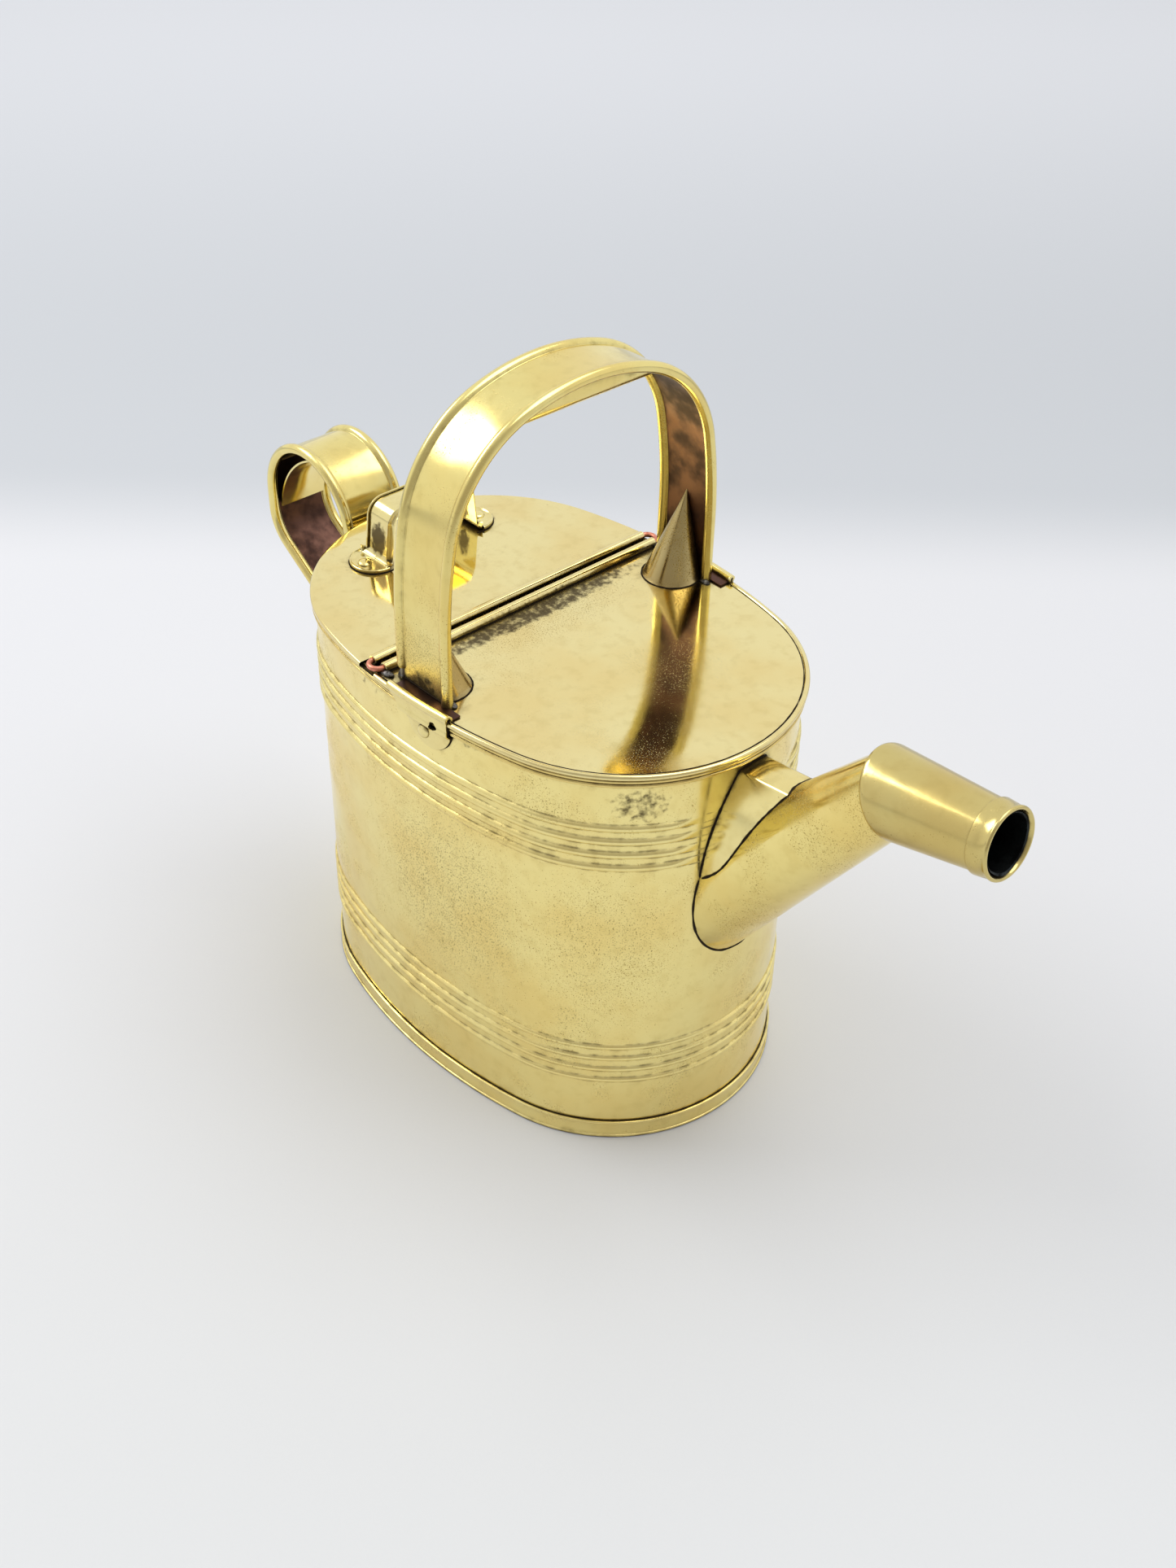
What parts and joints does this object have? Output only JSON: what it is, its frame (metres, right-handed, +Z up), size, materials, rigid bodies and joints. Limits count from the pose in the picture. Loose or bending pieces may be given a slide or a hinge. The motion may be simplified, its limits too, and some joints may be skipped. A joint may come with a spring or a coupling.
{
  "type": "watering can",
  "caption": "Oval brass watering can with hinged half lid, strap handle over the top, rear loop handle and tapered spout with nozzle.",
  "frame": {"origin": "middle of the oval bottom, at table height", "axes": "+X towards the spout, +Y to the left when looking along the spout, +Z up"},
  "size_m": [0.3817, 0.151, 0.293],
  "materials": {
    "body_brass": "satin, finely speckled",
    "bright_brass": "polished",
    "strap_brass": "satin, tarnished inside",
    "copper_wire": "dull copper",
    "edge_wire": "drawn"
  },
  "bodies": {
    "can": {"body_wall": "body_brass", "base_plate": "body_brass", "foot_band": "body_brass", "rim_band": "bright_brass", "top_plate": "body_brass", "hinge_wire": "copper_wire", "handle_strap": "strap_brass", "handle_wire_front": "edge_wire", "handle_wire_rear": "edge_wire", "handle_grip": "bright_brass", "handle_cone_left": "bright_brass", "handle_cone_right": "bright_brass", "handle_lug_left": "bright_brass", "handle_lug_right": "bright_brass", "lug_rivets": "bright_brass", "rear_handle_strap": "strap_brass", "rear_handle_wire_left": "edge_wire", "rear_handle_wire_right": "edge_wire", "rear_handle_lining": "bright_brass", "spout_tube": "body_brass", "spout_saddle": "bright_brass", "spout_nozzle": "bright_brass", "nozzle_ferrule": "bright_brass"},
    "half_lid": {"lid": "bright_brass", "lid_handle": "bright_brass", "lid_handle_rivets": "bright_brass"}
  },
  "joints": [
    {"name": "lid_hinge", "type": "hinge", "parent": "can", "child": "half_lid", "pos_m": [-0.022, 0, 0.18545], "axis": [0, 1, 0], "range_deg": [0, 105]}
  ]
}
